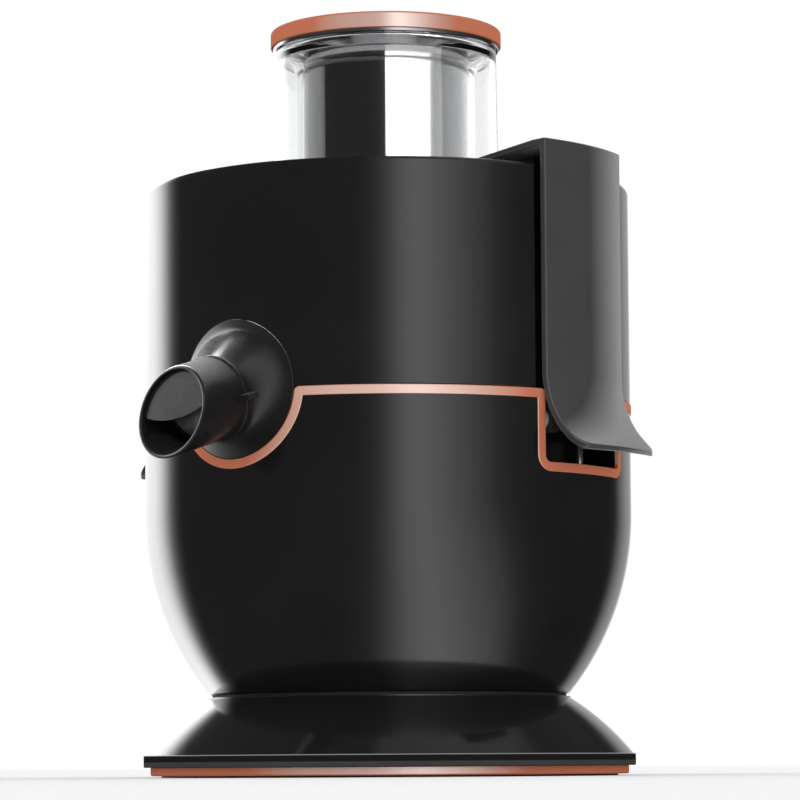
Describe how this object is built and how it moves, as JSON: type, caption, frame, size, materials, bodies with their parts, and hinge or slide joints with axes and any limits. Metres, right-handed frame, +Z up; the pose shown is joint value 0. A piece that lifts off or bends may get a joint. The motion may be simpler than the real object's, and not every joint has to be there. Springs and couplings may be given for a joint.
{
  "type": "centrifugal juicer",
  "caption": "Countertop centrifugal juicer with a wide feed chute and pusher, turning drip-stop spout nozzle and two side latches.",
  "frame": {"origin": "on the rotation axis of the basket, at the underside of the foot ring", "axes": "+Z up along the rotation axis, -Y to the front along the juice spout, +X and -X to the two side latches"},
  "size_m": [0.2664, 0.2721, 0.3477],
  "materials": {
    "rubber_black": "matt soft rubber",
    "base_plastic": "fine grained moulding",
    "screw_steel": "zinc plated",
    "copper_trim": "satin copper coating",
    "gloss_black": "deep piano black",
    "satin_black": "semi gloss black moulding",
    "pointer_mark": "printed mark",
    "latch_satin": "semi gloss dark grey moulding",
    "latch_inner": "matt black moulding",
    "bush_grey": "light grey acetal",
    "pin_chrome": "polished steel",
    "bearing_steel": "ground steel",
    "lamination_steel": "stacked laminations",
    "winding_copper": "enamelled copper wire",
    "brush_brass": "stamped brass",
    "board_green": "solder mask",
    "switch_black": "black moulding",
    "deck_grey": "grey glass filled moulding",
    "sieve_steel": "stainless steel mesh and sheet",
    "lid_smoke": "dark translucent moulding",
    "collector_clear": "smoked moulding",
    "chute_clear": "clear moulded plastic"
  },
  "bodies": {
    "base": {"foot_pad_ring": "rubber_black", "base_plate": "base_plastic", "base_screws": "screw_steel", "foot_trim_ring": "copper_trim", "foot_skirt": "gloss_black", "neck_gasket": "rubber_black", "neck_screws": "screw_steel", "lower_housing": "gloss_black", "latch_pockets": "gloss_black", "seam_trim": "copper_trim", "cable_gland": "rubber_black", "knob_bezel": "satin_black", "rotary_switch": "switch_black", "motor_deck": "deck_grey", "deck_screws": "screw_steel", "motor_tie_rods": "screw_steel", "lower_bearing_bracket": "base_plastic", "lower_bearing": "bearing_steel", "shaft_seal": "rubber_black", "upper_bearing_cup": "base_plastic", "upper_bearing": "bearing_steel", "stator_stack": "lamination_steel", "field_windings": "winding_copper", "brush_holders": "brush_brass", "control_board": "board_green", "interlock_switches": "switch_black", "upper_bowl": "gloss_black", "collector_floor": "collector_clear", "collector_wall": "collector_clear", "spout_collar": "satin_black", "lid": "lid_smoke", "lid_gasket": "rubber_black", "lid_catches": "satin_black", "feed_chute": "chute_clear", "latch_pivot_pins": "pin_chrome", "latch_bushings": "bush_grey"},
    "spinner": {"motor_shaft": "pin_chrome", "rotor_stack": "lamination_steel", "commutator": "winding_copper", "cooling_fan": "deck_grey", "drive_coupling": "deck_grey", "basket_hub": "deck_grey", "grater_disc": "sieve_steel", "filter_basket": "sieve_steel", "basket_rim": "sieve_steel"},
    "pusher": {"pusher_body": "satin_black", "pusher_cap_ring": "copper_trim", "pusher_cap_top": "satin_black"},
    "nozzle": {"nozzle_sleeve": "satin_black", "nozzle_baffle": "satin_black", "nozzle_lever": "satin_black"},
    "latch_right": {"latch_right_cover": "latch_satin", "latch_right_arm": "latch_inner"},
    "latch_left": {"latch_left_cover": "latch_satin", "latch_left_arm": "latch_inner"},
    "interlock_right": {"interlock_pin_right": "pin_chrome"},
    "interlock_left": {"interlock_pin_left": "pin_chrome"},
    "knob": {"control_knob": "satin_black", "knob_pointer": "pointer_mark"}
  },
  "joints": [
    {"name": "basket_spin", "type": "hinge", "parent": "base", "child": "spinner", "pos_m": [0, 0, 0.1], "axis": [0, 0, 1], "continuous": true},
    {"name": "pusher_slide", "type": "slide", "parent": "base", "child": "pusher", "axis": [0, 0, 1], "range_m": [0, 0.14]},
    {"name": "nozzle_turn", "type": "hinge", "parent": "base", "child": "nozzle", "pos_m": [0, -0.108, 0.1705], "axis": [0, -0.9613, -0.2756], "range_deg": [0, 180]},
    {"name": "latch_right_swing", "type": "hinge", "parent": "base", "child": "latch_right", "pos_m": [0.1035, 0, 0.157], "axis": [0, 1, 0], "range_deg": [0, 26]},
    {"name": "latch_left_swing", "type": "hinge", "parent": "base", "child": "latch_left", "pos_m": [-0.1035, 0, 0.157], "axis": [0, -1, 0], "range_deg": [0, 26]},
    {"name": "interlock_right_slide", "type": "slide", "parent": "base", "child": "interlock_right", "axis": [0, 0, 1], "range_m": [-0.0022, 0]},
    {"name": "interlock_left_slide", "type": "slide", "parent": "base", "child": "interlock_left", "axis": [0, 0, 1], "range_m": [-0.0022, 0]},
    {"name": "knob_turn", "type": "hinge", "parent": "base", "child": "knob", "pos_m": [-0.115, 0, 0.096], "axis": [-1, 0, 0], "range_deg": [-40, 80]}
  ],
  "couplings": [
    {"joint": "interlock_right_slide", "follows": "latch_right_swing", "m_per_rad": -0.0045},
    {"joint": "interlock_left_slide", "follows": "latch_left_swing", "m_per_rad": -0.0045}
  ]
}
